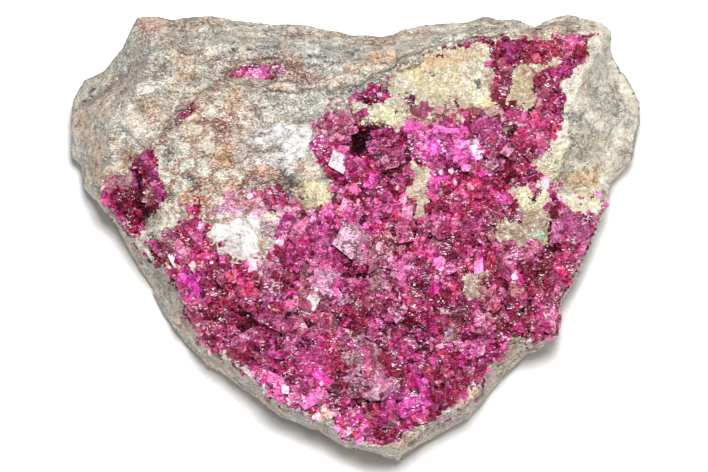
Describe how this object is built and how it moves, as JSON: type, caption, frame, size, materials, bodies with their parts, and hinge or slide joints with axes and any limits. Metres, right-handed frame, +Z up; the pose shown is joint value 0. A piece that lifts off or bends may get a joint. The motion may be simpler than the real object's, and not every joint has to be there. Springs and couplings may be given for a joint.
{
  "type": "cobaltoan dolomite specimen",
  "caption": "Loose heart-shaped slab of grey dolomite rock with a magenta crystal druse, crystal-lined pockets and cream calcite crusts; rests on its flat back.",
  "frame": {"origin": "centre of the bounding box in plan, on the resting plane", "axes": "+Z up out of the crystal face, +X along the longest side, +Y towards the broad straight edge, away from the pointed end"},
  "size_m": [0.1038, 0.0804, 0.0329],
  "materials": {
    "matrix_rock": "broken grey-beige dolomite rock, matt with fine sparkle",
    "magenta_dolomite": "glassy magenta crystal faces",
    "crimson_dolomite": "glassy dark crimson crystal faces",
    "cream_calcite": "sugary cream crystal crust"
  },
  "bodies": {
    "root": {"matrix_rock": "matrix_rock", "magenta_druse": "magenta_dolomite", "left_pocket_druse": "crimson_dolomite", "upper_pocket_druse": "crimson_dolomite", "ledge_seam_druse": "crimson_dolomite", "cream_crust_upper": "cream_calcite", "cream_crust_ridge": "cream_calcite", "cream_crust_right": "cream_calcite", "cream_crust_edge": "cream_calcite", "cream_knob_low": "cream_calcite", "cream_knob_mid": "cream_calcite"}
  },
  "joints": []
}
